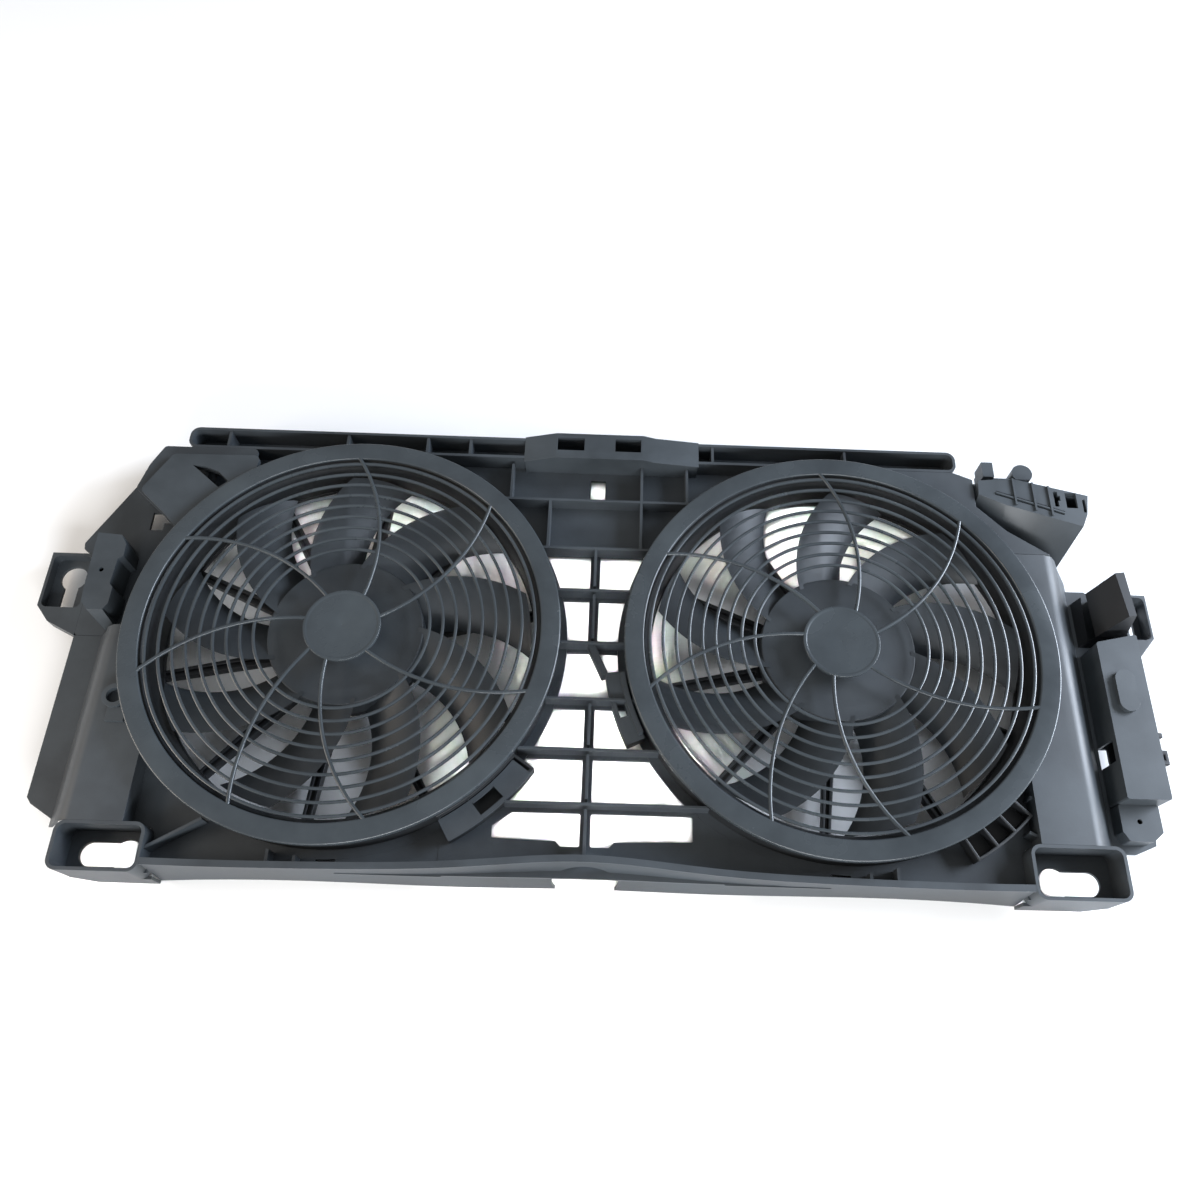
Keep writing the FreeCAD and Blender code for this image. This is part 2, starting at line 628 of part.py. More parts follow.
def column(side, low, high):
    """Hollow side column with a rounded outer shoulder, a flange at its foot and a closed end."""
    def run(section, y0, y1):
        corners = [at(x, y0, z) for x, z in section]
        return Part.Face(Part.makePolygon(corners + corners[:1])).extrude(at(0, y1 - y0, 0))
    body = run(column_section(-side), low, high)
    cap = run(column_section(-side, True), high - WALL, high)
    body = joined([body, cap])
    if side < 0:
        edge = [(-206.0, high), (-SIDE_OUT, high), (-SIDE_OUT, -135.0), (-224.0, -140.0),
                (-203.0, -152.5), (-203.0, high)]
    else:
        edge = [(206.0, 70.0), (243.0, 70.0), (243.0, -112.0), (238.5, -146.0), (222.0, -153.0),
                (203.0, -153.0), (203.0, 70.0)]
    flange = prism(edge, SIDE_BACK, SIDE_FRONT)
    body = joined([body, flange])
    if side > 0:
        body = body.cut(block(207.5, 215.5, -87.0, -70.0, SIDE_BACK - 1, SIDE_FRONT + 1))
        body = body.cut(prism([(152.0, high + 23), (260.0, high - 46), (260.0, high + 60)], 0, 80))
    body = moved(body.cut(disc(CLEAR_R, 0, GUARD_FRONT)).cut(
        disc(LIP_R + JOIN, PLATE_BACK - 1, PLATE_FRONT + JOIN)), side * HALF)
    return body


def left_side_plate():
    """Lower step of the left end, outside the bay, with an L-shaped opening."""
    outline = [(-211.0, 143.0), (-241.0, 86.0), (-240.0, 80.0), (-234.0, 76.2),
               (-SIDE_OUT, 76.2), (-SIDE_OUT, 0.1), (-150.0, 0.1), (-139.0, 100.0), (-139.0, BEAM_LOW - 2.0), (-190.0, 165.0)]
    plate = soft_prism(outline, 3.0, SIDE_BACK, SIDE_FRONT)
    room = LIP_R + JOIN
    plate = plate.cut(disc(room, 0, 40))
    step = tube(room + WALL, room, SIDE_BACK, PLATE_FRONT)
    step = step.common(block(-LIP_R - 10, -139.0, 0.1, LIP_R, 0, 40))
    hole = block(-189.5, -169.5, 108.0, 118.5, 0, 40)
    hole = hole.fuse(block(-189.5, -178.0, 101.0, 110.0, 0, 40))
    return moved(joined([plate, step]).cut(hole), -HALF)


def left_upper_plate():
    """Raised corner panel between the left fan and the beam, with a hood in front of it."""
    outline = [(-196.5, 127.0), (-190.0, 152.0), (-181.0, BEAM_LOW - JOIN), (-100.0, BEAM_LOW - JOIN),
               (-100.0, 130.0), (-150.0, 84.0), (-166.0, 100.0)]
    plate = soft_prism(outline, 4.0, RIM_FRONT - WALL, RIM_FRONT)
    leg = rib((-194.5, 127.5), (-181.5, BEAM_LOW - 5.0), WALL, SIDE_FRONT, RIM_FRONT)
    wing = rib((-COLUMN_IN - WALL, 112.0), (-COLUMN_IN - WALL, BEAM_LOW - 3.0), WALL,
               SIDE_FRONT, RIM_FRONT)
    window = prism([(-151.0, 149.0), (-125.0, 127.5), (-118.0, 134.0), (-128.0, 143.5),
                    (-140.0, 148.0)], RIM_FRONT - 4, RIM_FRONT + 1)
    panel = joined([plate, leg, wing]).cut(window)
    return moved(panel.cut(disc(CLEAR_R, 0, GUARD_FRONT)), -HALF)


def left_hood():
    outline = [(-190.0, 123.0), (-169.5, 160.0), (-95.0, 161.0), (-100.0, 120.0), (-150.0, 85.0),
               (-164.5, 100.0)]
    low = RIM_FRONT
    high = RIM_FRONT + 5.0
    plate = soft_prism(outline, 5.0, low, high)
    plate = plate.cut(soft_prism([(-180.0, 122.0), (-166.0, 152.0), (-100.0, 153.0), (-106.0, 124.0),
                                  (-150.0, 93.0)], 4.0, low, high - WALL))
    window = prism([(-151.0, 149.0), (-125.0, 127.5), (-118.0, 134.0), (-128.0, 143.5),
                    (-140.0, 148.0)], low - 1, high + 1)
    return moved(plate.cut(window).cut(disc(CLEAR_R, 0, GUARD_FRONT)), -HALF)


def left_raised_box():
    """Open-backed terminal housing on the left side plate."""
    outline = [(-217.3, 82.5), (-197.3, 81.0), (-191.8, 72.5), (-191.3, 61.0), (-195.3, 58.5),
               (-196.3, 36.0), (-193.3, 32.0), (-193.3, 18.0), (-196.3, 13.0), (-209.3, 12.0),
               (-215.3, 19.0), (-216.3, 34.0)]
    body = prism(outline, SIDE_FRONT, RIM_FRONT)
    slope = Part.makeLoft([Part.makePolygon([at(-209.3, 14, RIM_FRONT), at(-196.3, 14, RIM_FRONT),
                                             at(-196.3, 12, RIM_FRONT), at(-209.3, 12, RIM_FRONT),
                                             at(-209.3, 14, RIM_FRONT)]),
                           Part.makePolygon([at(-209.3, 14, SIDE_FRONT), at(-196.3, 14, SIDE_FRONT),
                                             at(-191.3, 3, SIDE_FRONT), at(-202.3, 4, SIDE_FRONT),
                                             at(-209.3, 14, SIDE_FRONT)])], True, True)
    body = body.cut(soft_prism([(-214.0, 79.5), (-200.0, 78.5), (-199.0, 20.0), (-212.0, 20.0)], 2.0,
                               SIDE_FRONT, RIM_FRONT - WALL))
    body = body.cut(disc(2.0, RIM_FRONT - 4, RIM_FRONT, -206.3, 48.0))
    return moved(joined([body, slope]), -HALF)


def ear(side, low, high, back, rim):
    """Side mounting ear: a shallow frame round a keyhole slot."""
    inner = SIDE_OUT + 0.1 if side < 0 else SIDE_OUT + 15.1
    outline = [(side * inner, low - 8.0), (side * (EAR_REACH - 12.0), low + 4.0),
               (side * EAR_REACH, low + 18.0), (side * EAR_REACH, high), (side * inner, high)]
    if side > 0:
        outline = outline[::-1]
    floor = back + PLATE_T
    frame = prism(outline, back, rim)
    middle = side * (inner + EAR_REACH) / 2
    half = (EAR_REACH - inner) / 2 - WALL
    pocket = rect(middle - half, middle + half, low + 17.0, high - WALL)
    frame = frame.cut(soft_prism(pocket, 5.0, floor, rim))
    eye = high - WALL - half - 1.0
    radius = min(EAR_BIG_R, half - 2.0)
    slot = min(EAR_SLOT_R, half - 5.0)
    opening = disc(radius, back, floor, middle, eye)
    opening = opening.fuse(block(middle - slot, middle + slot, low + 19.0, eye, back, floor))
    return moved(frame.cut(opening), side * HALF)


def module_cover():
    """Cover of the control module on the right flange, with a raised pad and a lower step."""
    base = SIDE_FRONT
    body = soft_prism([(207.6, -118.0), (241.5, -118.0), (241.5, 17.8), (207.6, 10.0)],
                      2.0, base, MODULE_FRONT)
    body = body.cut(soft_prism([(210.1, -115.5), (239.0, -115.5), (239.0, 14.5),
                                (210.1, 7.5)], 1.0, base, MODULE_FRONT - WALL))
    step = soft_prism([(207.6, -139.0), (212.0, -146.0), (230.0, -146.0), (238.3, -139.0),
                       (238.3, -118.0), (207.6, -118.0)], 1.5, base, 34.0)
    step = step.cut(soft_prism([(210.1, -138.0), (213.0, -143.5), (229.0, -143.5), (235.8, -138.0),
                                (235.8, -120.5), (210.1, -120.5)], 1.0, base, 34.0 - WALL))
    step = step.cut(disc(2.0, 30, 34, 221.8, -131.0))
    pad = [(222.6, -49.5, -15.0)]
    for x, y0, y1 in pad:
        oval = disc(7.8, MODULE_FRONT, MODULE_FRONT + 4, x, y0 + 7.8)
        oval = oval.fuse(disc(7.8, MODULE_FRONT, MODULE_FRONT + 4, x, y1 - 7.8))
        oval = oval.fuse(block(x - 7.8, x + 7.8, y0 + 7.8, y1 - 7.8, MODULE_FRONT, MODULE_FRONT + 4))
    body = body.cut(block(207.0, 215.5, -87.0, -70.0, base, MODULE_FRONT - 6.0))
    return moved(joined([body, step, oval]), HALF)


def module_latch():
    post = block(241.6, 247.0, -99.0, -66.0, 34.0, 41.0)
    tooth = block(247.0, 251.0, -88.0, -76.0, 36.0, 41.0)
    lip = block(241.6, 250.0, -66.0, -62.0, 36.0, 41.0)
    notch = block(243.5, 248.0, -84.0, -80.0, 33.0, 42.0)
    return moved(joined([post, tooth, lip]).cut(notch), HALF)


def connector_shield():
    """Tall shield that leans outwards over the right flange."""
    def loop(points, z):
        corners = [at(x, y, z) for x, y in points]
        return Part.makePolygon(corners + corners[:1])
    body = Part.makeLoft([loop([(207.6, 18.0), (242.0, 18.1), (242.0, 66.0), (207.6, 58.0)], SIDE_FRONT),
                          loop([(230.0, 26.0), (236.0, 27.0), (233.5, 66.0), (226.0, 65.0)], HORN_FRONT)],
                         True, True)
    body = body.cut(block(212.0, 238.5, 20.5, 62.0, SIDE_FRONT, SIDE_FRONT + 16.0))
    return moved(body, HALF)


def upper_bracket():
    """Ribbed carrier for a connector, at the right end of the beam."""
    def loop(points, z):
        corners = [at(x, y, z) for x, y in points]
        return Part.makePolygon(corners + corners[:1])
    low = RIM_FRONT
    foot = [(130.0, 138.0), (154.0, 122.0), (197.0, 88.0), (225.0, 128.0), (229.0, 150.0),
            (162.0, 166.0), (132.0, 163.0)]
    front = [(131.0, 147.0), (153.0, 137.0), (217.0, 118.0), (222.5, 130.0), (226.0, 149.0),
             (162.0, 164.0), (132.0, 161.0)]
    shell = Part.makeLoft([loop(foot, PLATE_FRONT), loop(front, MODULE_FRONT)], True, True)
    inner_foot = [(134.0, 141.0), (155.5, 126.0), (196.0, 93.0), (221.5, 129.0), (225.0, 147.0),
                  (162.0, 162.5), (134.5, 160.0)]
    inner_front = [(134.0, 149.0), (154.0, 140.5), (215.0, 122.0), (219.0, 131.0), (222.0, 147.0),
                   (162.0, 161.0), (134.5, 158.5)]
    shell = shell.cut(Part.makeLoft([loop(inner_foot, PLATE_FRONT), loop(inner_front, MODULE_FRONT - WALL)],
                                    True, True))
    high = MODULE_FRONT
    slot = rib((146.0, 149.0), (203.0, 130.5), 4.0, high - 4, high + 3)
    windows = [block(206.0, 215.5, 136.0, 151.0, high - 4, high + 1),
               block(220.0, 222.5, 132.0, 145.0, high - 4, high + 1),
               block(196.0, 199.5, 137.0, 152.0, high - 4, high + 1),
               block(199.5, 201.5, 143.0, 148.0, high - 4, high + 1)]
    for piece in [slot] + windows:
        shell = shell.cut(piece)
    ribs = [rib((x, y0), (x, y1), 1.6, high - 1.0, high + 1.6)
            for x, y0, y1 in ((162.0, 137.0, 163.5), (178.5, 132.0, 160.0), (192.0, 127.5, 157.0))]
    ribs.append(rib((146.0, 149.0), (203.0, 130.5), 1.4, high - WALL, high + 1.0))
    return moved(joined([shell] + ribs), HALF)


def right_shoulder():
    """Panel that carries the bracket round the top right of the fan to the beam."""
    outline = [(139.0, 91.1), (186.0, 91.1), (152.0, 113.5), (129.0, 136.9), (129.0, 164.0),
               (112.0, BEAM_LOW - JOIN), (60.0, BEAM_LOW - JOIN), (60.0, 150.0)]
    plate = prism(outline, RIM_FRONT - WALL, RIM_FRONT)
    leg = rib((150.5, 112.0), (128.0, 135.0), WALL, PLATE_FRONT, RIM_FRONT)
    tray = prism([(139.1, 114.0), (188.0, 92.0), (225.0, 128.0), (229.0, 150.0), (162.0, 166.0),
                  (139.1, 166.0)], PLATE_BACK, PLATE_FRONT)
    lugs = [block(152.0, 158.0, 150.0, 158.0, PLATE_BACK - 4, PLATE_BACK)]
    panel = joined([plate, leg, tray] + lugs)
    return moved(panel.cut(disc(CLEAR_R, 0, GUARD_FRONT)), HALF)


def bracket_posts():
    """Half-round post and block behind the upper bracket."""
    post = disc(9.0, PLATE_FRONT, RIM_FRONT, 174.0, 172.5).common(
        block(160, 190, 166.1, 183, PLATE_FRONT, RIM_FRONT))
    stub = block(139.1, 149.0, 168.0, 183.0, PLATE_FRONT, RIM_FRONT)
    base = block(139.1, 184.0, 166.1, 178.0, PLATE_BACK, PLATE_FRONT)
    return moved(joined([post, stub, base]), HALF)


def cable_clip():
    ring = tube(9.5, 6.0, RIM_FRONT, RIM_FRONT + 5.5, -166.3, -62.0)
    ring = ring.cut(block(-160.0, -150.0, -58.0, -52.0, RIM_FRONT, RIM_FRONT + 6))
    tail = block(-170.0, -156.0, -82.0, -70.5, RIM_FRONT, RIM_FRONT + 3.0)
    return moved(joined([ring, tail]).cut(disc(CLEAR_R, 0, GUARD_FRONT)), -HALF)


def top_beam():
    """Channel across the top, open to the front, with cross ribs."""
    outer = soft_prism(rect(BEAM_X0, BEAM_X1, BEAM_LOW, BEAM_HIGH), 8.0, 0, RIM_FRONT)
    front = soft_prism(rect(BEAM_X0 + WALL, BEAM_X1 - WALL, BEAM_LOW + WALL, BEAM_HIGH - WALL), 5.5,
                       PLATE_BACK, RIM_FRONT)
    rear = rect(BEAM_X0 - 1, BEAM_X1 + 1, BEAM_LOW - 1, BEAM_HIGH - WALL)
    beam = outer.cut(front).cut(prism(rear, 0, PLATE_BACK - WALL))
    ribs = [block(x - RIB_T / 2, x + RIB_T / 2, BEAM_LOW + 1, BEAM_HIGH - 1, PLATE_BACK - 1, RIM_FRONT - 1)
            for x in (-HALF - 127.8, -HALF - 24.1, -HALF + 46.0, -114.1, 99.4, HALF + 18.6)]
    slot = block(-HALF - 56.0, -HALF - 39.0, BEAM_LOW + 6, BEAM_LOW + 14, 0, 40)
    return joined([beam] + ribs).cut(slot)


def latch_block():
    """Raised latch housing at the middle of the beam, with two openings."""
    y0 = BEAM_LOW - 3.5
    corners = [at(x, y0, z) for x, z in ((-66.0, RIM_FRONT), (-BLOCK_HALF, BLOCK_FRONT),
               (BLOCK_HALF, BLOCK_FRONT), (BLOCK_HALF + 11, BLOCK_FRONT - 3.5), (87.0, RIM_FRONT))]
    body = Part.Face(Part.makePolygon(corners + corners[:1])).extrude(at(0, BLOCK_HIGH - y0, 0))
    low = [at(x, y0 + WALL, z) for x, z in ((-56.0, RIM_FRONT), (-BLOCK_HALF, BLOCK_FRONT - WALL),
           (BLOCK_HALF, BLOCK_FRONT - WALL), (BLOCK_HALF + 10, BLOCK_FRONT - 6.0), (72.0, RIM_FRONT))]
    room = Part.Face(Part.makePolygon(low + low[:1])).extrude(at(0, BLOCK_HIGH - y0 - 2 * WALL, 0))
    body = body.cut(room)
    lip = block(-65.0, 86.0, y0, BEAM_LOW - JOIN, PLATE_FRONT, RIM_FRONT)
    body = joined([body, lip])
    for x0, x1 in ((-37.0, -13.5), (13.5, 36.0)):
        body = body.cut(block(x0, x1, BEAM_LOW + 4.5, BEAM_HIGH - 3.5, RIM_FRONT, 60))
    return body


def centre_web():
    """Panel between the fans at the top, stiffened by ribs."""
    low = WEB_LOW
    high = BEAM_LOW
    room = LIP_R + JOIN
    plate = block(-HALF, HALF, low, high, PLATE_BACK, PLATE_FRONT)
    plate = clear_of_fans(plate, room).cut(block(-7.0, 6.0, 141.0, 161.0, 0, 60))
    top = high - 3.6
    ribs = [block(-76.4, -74.2, WEB_MID, top, PLATE_FRONT, RIB_FRONT),
            block(75.7, 77.9, WEB_MID, top, PLATE_FRONT, RIB_FRONT),
            block(-42.1, -39.9, low, WEB_MID, PLATE_FRONT, RIB_FRONT),
            block(36.4, 38.6, low, top, PLATE_FRONT, RIB_FRONT),
            block(-90.0, 90.0, WEB_MID - RIB_T / 2, WEB_MID + RIB_T / 2, PLATE_FRONT, RIB_FRONT),
            block(-60.0, 60.0, low, low + RIB_T, PLATE_FRONT, RIB_FRONT)]
    ribs = [clear_of_fans(piece) for piece in ribs]
    return clear_of_fans(joined([plate] + ribs), CLEAR_R)


def lattice():
    """Ladder of T-section bars between the fans: each rung and each upright is one bar."""
    room = LIP_R + JOIN
    bars = []
    for y in RUNGS:
        flange = clear_of_fans(block(-HALF, HALF, y - RUNG_W / 2, y + RUNG_W / 2, PLATE_BACK,
                                     PLATE_FRONT), room)
        web = clear_of_fans(block(-HALF, HALF, y - RIB_T / 2, y + RIB_T / 2, PLATE_FRONT, RIB_FRONT),
                            CLEAR_R)
        bars.append(joined([flange, web]))
    ends = [WEB_LOW] + RUNGS
    for high, low in zip(ends[:-1], ends[1:]):
        top = high - RUNG_W / 2 if high in RUNGS else high
        bottom = low + RUNG_W / 2
        if high == RUNGS[1]:
            continue
        flange = block(-RUNG_W / 2, RUNG_W / 2, bottom, top, PLATE_BACK, PLATE_FRONT)
        web = block(-RIB_T / 2, RIB_T / 2, bottom, top, PLATE_FRONT, RIB_FRONT)
        bars.append(joined([flange, web]))
    keep = clip_room(-HALF, -60.5, -32.5)
    return [bar.cut(keep).Solids[0] for bar in bars]


def clip_room(x, a0, a1):
    return moved(sector(SKIRT_R - 5, SKIRT_R + BRACKET_REACH + 1.0, a0, a1, PLATE_FRONT, RIM_FRONT), x)


if __name__ == "__main__":
    os.makedirs("parts", exist_ok=True)
    for side, x, phase, clip in (("left", -HALF, LEFT_PHASE, (-59.0, -34.0, 3)),
                                 ("right", HALF, RIGHT_PHASE, (-61.0, -43.5, 3))):
        save(side + "_guard", moved(guard(), x))
        save(side + "_fan_frame", moved(fan_frame(*clip), x))
        save(side + "_motor_carrier", moved(motor_carrier(), x))
        save(side + "_impeller", moved(impeller(phase), x))
        save(side + "_armature_core", moved(armature(), x))
        save(side + "_armature_winding", moved(winding(), x))
        save(side + "_commutator", moved(commutator(), x))
        save(side + "_motor_shaft", moved(shaft(), x))
        save(side + "_hub_nut", moved(hub_nut(), x))
    save("motor_cans", both([motor_can()]))
    save("motor_end_caps", both([end_cap()]))
    save("motor_bearings", both(bearings()))
    save("motor_magnets", both(magnets()))
    save("brush_holders", both([brush_gear()]))
    save("brushes", both(brushes()))
    save("motor_screws", both(motor_screws()))
    for side, sign in (("left", -1), ("right", 1)):
        save(side + "_bay_plate", bay_plate(sign))
        save(side + "_corner_pocket", corner_box(sign))
    save("left_column", column(-1, -156.9, 0.0))
    save("right_column", column(1, -152.9, 91.0))
    save("bottom_rail", bottom_rail())
    save("top_beam", top_beam())
    save("latch_block", latch_block())
    save("centre_web", centre_web())
    save("lattice_bars", Part.makeCompound(lattice()))
    save("left_side_plate", left_side_plate())
    save("left_upper_panel", left_upper_plate())
    save("left_hood", left_hood())
    save("left_terminal_box", left_raised_box())
    save("left_ear", ear(-1, 8.0, 76.0, SIDE_BACK - 9.0, SIDE_FRONT))
    save("right_ear", ear(1, 4.0, 62.0, SIDE_BACK, EAR_RIM))
    save("module_cover", module_cover())
    save("module_latch", module_latch())
    save("connector_shield", connector_shield())
    save("upper_bracket", upper_bracket())
    save("right_shoulder", right_shoulder())
    save("bracket_posts", bracket_posts())
    save("cable_clip", cable_clip())
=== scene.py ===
import math

import bmesh
import bpy
import numpy as np
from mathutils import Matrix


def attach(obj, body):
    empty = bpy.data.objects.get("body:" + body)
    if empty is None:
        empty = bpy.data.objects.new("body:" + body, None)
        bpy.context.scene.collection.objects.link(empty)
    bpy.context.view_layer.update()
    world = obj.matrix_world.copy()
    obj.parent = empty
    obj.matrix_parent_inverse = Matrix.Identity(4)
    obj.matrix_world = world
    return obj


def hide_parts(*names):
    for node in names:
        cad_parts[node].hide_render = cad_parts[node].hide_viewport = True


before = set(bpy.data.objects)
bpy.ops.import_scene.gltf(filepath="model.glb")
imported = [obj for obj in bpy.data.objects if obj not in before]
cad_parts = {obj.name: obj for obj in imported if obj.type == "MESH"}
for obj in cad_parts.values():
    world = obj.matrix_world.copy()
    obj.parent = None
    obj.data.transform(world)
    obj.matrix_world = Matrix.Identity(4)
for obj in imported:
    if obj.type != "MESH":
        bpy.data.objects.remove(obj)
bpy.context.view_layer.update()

# Carrier moulding
# One long injection moulding in glass-filled polypropylene carries both fans and every bracket.
# Its tool is spark-eroded, so the skin is matt with a fine grain and its drawn ribs have soft edges.

CARRIER = ["left_bay_plate", "right_bay_plate", "centre_web", "lattice_bars", "bottom_rail", "top_beam",
           "left_column", "right_column", "left_corner_pocket", "right_corner_pocket", "left_side_plate",
           "left_upper_panel", "left_ear", "right_ear", "right_shoulder"]
CARRIER_EDGE_MM = 0.7
WELD_WITHIN_MM = 0.01
SHARP_FROM_DEG = 33


def linear(code):
    """Linear RGBA of an sRGB hex colour, by the two-part curve of the sRGB standard."""
    parts = [int(code[i:i + 2], 16) / 255 for i in (0, 2, 4)]
    return [p / 12.92 if p <= 0.04045 else ((p + 0.055) / 1.055) ** 2.4 for p in parts] + [1.0]


def add(tree, kind, inputs=None, **settings):
    """Adds a shader node with its settings. Each input is a plain value or another node's socket."""
    made = tree.nodes.new(kind)
    for name, value in settings.items():
        setattr(made, name, value)
    for name, value in (inputs or {}).items():
        if isinstance(value, bpy.types.NodeSocket):
            tree.links.new(value, made.inputs[name])
        else:
            made.inputs[name].default_value = value
    return made


def moulded(name, dark, light, roughness, grain_mm, depth_mm, cloud_mm=70.0):
    """Moulded plastic: two close tones drift across it as cooling marks, and a grain covers it.

    Tone and roughness follow one slow noise of the cloud's size. The bump is a fine noise whose
    size and height are those of the tool's grain in millimetres.
    """
    material = bpy.data.materials.new(name)
    material.use_nodes = True
    tree = material.node_tree
    tree.nodes.clear()
    place = add(tree, "ShaderNodeTexCoord").outputs["Object"]
    cloud = add(tree, "ShaderNodeTexNoise", {"Vector": place, "Scale": 1000 / cloud_mm, "Detail": 5.0,
                                             "Roughness": 0.6}).outputs["Fac"]
    tone = add(tree, "ShaderNodeValToRGB", {"Fac": cloud})
    tone.color_ramp.elements[0].position = 0.32
    tone.color_ramp.elements[0].color = linear(dark)
    tone.color_ramp.elements[1].position = 0.7
    tone.color_ramp.elements[1].color = linear(light)
    shine = add(tree, "ShaderNodeMapRange", {"Value": cloud, "From Min": 0.3, "From Max": 0.7,
                                             "To Min": roughness - 0.06, "To Max": roughness + 0.06})
    grain = add(tree, "ShaderNodeTexNoise", {"Vector": place, "Scale": 1000 / grain_mm, "Detail": 3.0,
                                             "Roughness": 0.55}).outputs["Fac"]
    bump = add(tree, "ShaderNodeBump", {"Height": grain, "Distance": depth_mm / 1000, "Strength": 1.0})
    shader = add(tree, "ShaderNodeBsdfPrincipled", {"Base Color": tone.outputs["Color"],
                                                    "Roughness": shine.outputs["Result"],
                                                    "Normal": bump.outputs["Normal"], "IOR": 1.49})
    add(tree, "ShaderNodeOutputMaterial", {"Surface": shader.outputs["BSDF"]})
    return material


def dress(names, material, edge_mm):
    """Gives CAD nodes their finish and the small radius that a mould or a press leaves on an edge."""
    for name in names:
        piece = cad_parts[name]
        piece.data.materials.clear()
        piece.data.materials.append(material)
        piece.data.polygons.foreach_set("use_smooth", np.ones(len(piece.data.polygons), bool))
        weld = piece.modifiers.new("weld", "WELD")
        weld.merge_threshold = WELD_WITHIN_MM / 1000
        edge = piece.modifiers.new("edge", "BEVEL")
        edge.width = edge_mm / 1000
        edge.segments = 2
        edge.limit_method = "ANGLE"
        edge.angle_limit = math.radians(SHARP_FROM_DEG)
        shade = piece.modifiers.new("shade", "WEIGHTED_NORMAL")
        shade.keep_sharp = True


carrier_plastic = moulded("glass_filled_polypropylene_grained", "2e3236", "3c4247", 0.5, 1.6, 0.03)
dress(CARRIER, carrier_plastic, CARRIER_EDGE_MM)

# Fitted mouldings
# Small mouldings in the same plastic clip or weld on to the carrier: the latch housing, the hood,
# the terminal box, the module cover, the connector bracket and the cable clip. Their tool is smoother.

FITTED = ["latch_block", "left_hood", "left_terminal_box", "module_cover", "upper_bracket",
          "bracket_posts", "cable_clip"]
FITTED_EDGE_MM = 1.2

fitted_plastic = moulded("polypropylene_fine_grain", "2f3438", "3e4449", 0.46, 1.3, 0.02)
dress(FITTED, fitted_plastic, FITTED_EDGE_MM)

# Latch and connector shield
# Both are moulded in black nylon, which is darker than the carrier and takes a duller grain.

BLACK_PARTS = ["module_latch", "connector_shield"]
BLACK_EDGE_MM = 1.2

black_nylon = moulded("black_nylon_moulded", "15171a", "1f2226", 0.55, 1.2, 0.02)
dress(BLACK_PARTS, black_nylon, BLACK_EDGE_MM)

# Fan frames and motor carriers
# Each fan has its own frame: a bell mouth, a barrel and ten grooved struts that hold the motor.
# They are glass-filled nylon, nearly black, and sit in the shade of the guard.

FRAMES = ["left_fan_frame", "right_fan_frame", "left_motor_carrier", "right_motor_carrier"]
FRAME_EDGE_MM = 0.6

frame_nylon = moulded("glass_filled_nylon_moulded", "16181a", "1e2124", 0.5, 1.4, 0.02)
dress(FRAMES, frame_nylon, FRAME_EDGE_MM)

# Fan guards
# Each guard is one flat moulding: an outer ring with a turned lip, nine thin rings, a plain disc and
# seven bowed spokes that stand a little proud. Its satin skin catches a bright line along each rod.

FAN_X = {"left": -0.1977, "right": 0.1977}
GUARD_OUTER = 0.1725
GUARD_INNER = 0.1567
GUARD_FRONT = 0.058
GUARD_BACK = 0.055
GUARD_LIP = 0.052
SKIRT_R = 0.1701
RIM_ROUND = 0.0014
DISC_R = 0.0305
DISC_DISH = 0.0004
DISC_BORDER_W = 0.003
DISC_ROUND = 0.0005
AXIS_GAP = 0.00005
RING_FIRST = 0.0689
RING_PITCH = 0.0104
RING_COUNT = 9
ROD_W = 0.0026
ROD_H = 0.0024
SPOKE_W = 0.0030
SPOKE_H = 0.0030
SPOKES = [(17.6, 46.8), (63.5, 92.8), (122.0, 152.0), (169.0, 196.0), (222.0, 247.0), (254.0, 284.0),
          (316.5, 341.5)]
ROUND = 192


def quads(rows, columns, rows_close, columns_close):
    """Corners of every quad of a grid of points, which may close on itself either way."""
    r, c = np.meshgrid(np.arange(rows if rows_close else rows - 1),
                       np.arange(columns if columns_close else columns - 1), indexing="ij")
    below, beside = (r + 1) % rows, (c + 1) % columns
    return np.stack([r * columns + c, r * columns + beside, below * columns + beside,
                     below * columns + c], -1).reshape(-1, 4)


def moulding(name, shells, material, body, replaced, smooth_deg=40):
    """One piece from several closed shells of points. A shell whose rows stay open gets end caps."""
    points, faces, start = [], [], 0
    for shell, rows_close in shells:
        rows, columns = shell.shape[:2]
        points.append(shell.reshape(-1, 3))
        faces += (quads(rows, columns, rows_close, True) + start).tolist()
        if not rows_close:
            faces.append((np.arange(columns) + start).tolist())
            faces.append((np.arange(columns)[::-1] + start + (rows - 1) * columns).tolist())
        start += rows * columns
    mesh = bpy.data.meshes.new(name)
    mesh.from_pydata(np.concatenate(points).tolist(), [], faces)
    work = bmesh.new()
    work.from_mesh(mesh)
    bmesh.ops.recalc_face_normals(work, faces=work.faces)
    work.to_mesh(mesh)
    work.free()
    mesh.materials.append(material)
    mesh.shade_smooth()
    mesh.set_sharp_from_angle(angle=math.radians(smooth_deg))
    piece = bpy.data.objects.new(name, mesh)
    bpy.context.scene.collection.objects.link(piece)
    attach(piece, body)
    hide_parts(*replaced)
    return piece


def turned(profile, x, count=ROUND):
    """Closed profile of (radius, height) turned once about the fan axis at x."""
    profile = np.asarray(profile, float)
    turn = np.linspace(0, 2 * np.pi, count, endpoint=False)[:, None]
    return np.stack([x + profile[:, 0] * np.cos(turn), profile[:, 0] * np.sin(turn),
                     np.broadcast_to(profile[:, 1], (count, len(profile)))], -1), True


